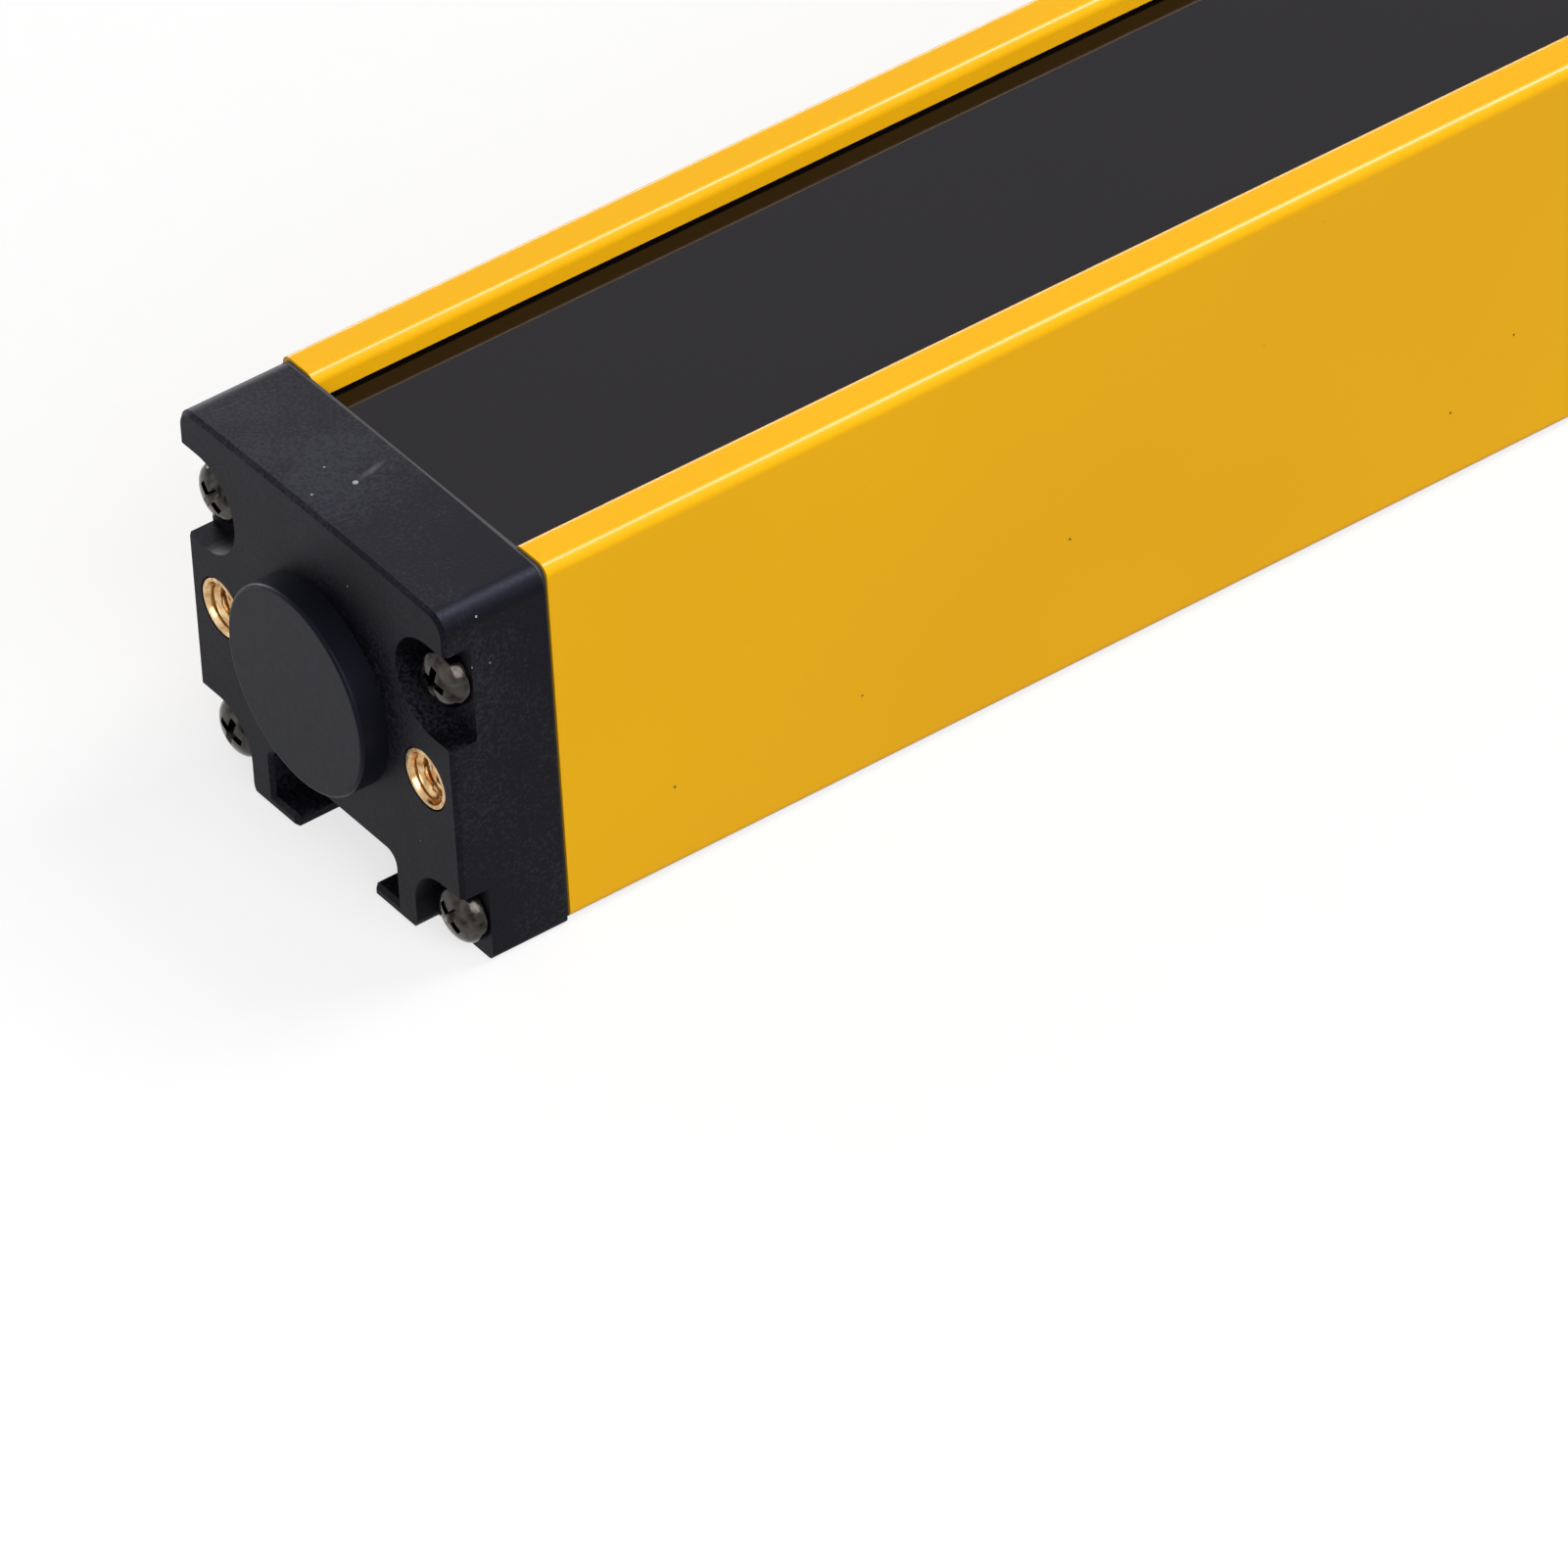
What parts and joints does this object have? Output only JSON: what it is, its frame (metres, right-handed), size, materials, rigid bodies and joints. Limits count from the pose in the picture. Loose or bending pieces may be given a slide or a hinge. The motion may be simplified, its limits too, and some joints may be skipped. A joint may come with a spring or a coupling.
{
  "type": "safety light curtain",
  "caption": "Long square safety light curtain bar: yellow extruded housing, recessed dark optical window, black moulded end caps, T-slot back, threaded inserts and round connector.",
  "frame": {"origin": "middle of the whole bar's length and width, at the level of the feet under the end caps", "axes": "+X along the bar from the blanked cap to the inlet cap, +Z out of the optical window, +Y to the left side seen from the blanked end"},
  "size_m": [0.211, 0.035, 0.0344],
  "materials": {
    "yellow_powder_coat": "smooth semi-gloss powder coat on aluminium",
    "dark_filter_pane": "polished dark infrared-pass filter",
    "cap_moulding": "fine-grained glass-filled nylon",
    "plug_moulding": "smooth moulded plug",
    "seal_rubber": "black sealing rubber",
    "black_nickel_steel": "black nickel plating",
    "insert_brass": "turned brass",
    "nickel_plating": "nickel plating on brass",
    "contact_block_plastic": "moulded contact block",
    "contact_gold": "gold plating",
    "board_laminate": "solder mask",
    "carrier_plastic": "light-absorbing black",
    "clear_acrylic": "clear moulded optics",
    "emitter_resin": "tinted resin",
    "component_plastic": "component package"
  },
  "bodies": {
    "root": {"aperture_strip": "carrier_plastic", "blanking_plug": "plug_moulding", "cap_gasket_far": "seal_rubber", "cap_gasket_near": "seal_rubber", "cap_screw_far_lower_left": "black_nickel_steel", "cap_screw_far_lower_right": "black_nickel_steel", "cap_screw_far_upper_left": "black_nickel_steel", "cap_screw_far_upper_right": "black_nickel_steel", "cap_screw_near_lower_left": "black_nickel_steel", "cap_screw_near_lower_right": "black_nickel_steel", "cap_screw_near_upper_left": "black_nickel_steel", "cap_screw_near_upper_right": "black_nickel_steel", "carrier_screw_1": "black_nickel_steel", "carrier_screw_2": "black_nickel_steel", "carrier_screw_3": "black_nickel_steel", "circuit_board": "board_laminate", "controller_chip_1": "component_plastic", "controller_chip_2": "component_plastic", "end_cap_far": "cap_moulding", "end_cap_near": "cap_moulding", "front_window": "dark_filter_pane", "housing": "yellow_powder_coat", "infrared_emitter_1": "emitter_resin", "infrared_emitter_2": "emitter_resin", "infrared_emitter_3": "emitter_resin", "infrared_emitter_4": "emitter_resin", "inlet_contact_1": "contact_gold", "inlet_contact_2": "contact_gold", "inlet_contact_3": "contact_gold", "inlet_contact_4": "contact_gold", "inlet_contact_5": "contact_gold", "inlet_contact_block": "contact_block_plastic", "inlet_lock_nut": "nickel_plating", "inlet_seal": "seal_rubber", "inlet_shell": "nickel_plating", "lens_1": "clear_acrylic", "lens_2": "clear_acrylic", "lens_3": "clear_acrylic", "lens_4": "clear_acrylic", "lens_carrier": "carrier_plastic", "light_pipe_1": "clear_acrylic", "light_pipe_2": "clear_acrylic", "status_light_1": "emitter_resin", "status_light_2": "emitter_resin", "threaded_insert_far_left": "insert_brass", "threaded_insert_far_right": "insert_brass", "threaded_insert_near_left": "insert_brass", "threaded_insert_near_right": "insert_brass", "window_seal_left": "seal_rubber", "window_seal_right": "seal_rubber", "wiring_header": "component_plastic"}
  },
  "joints": []
}
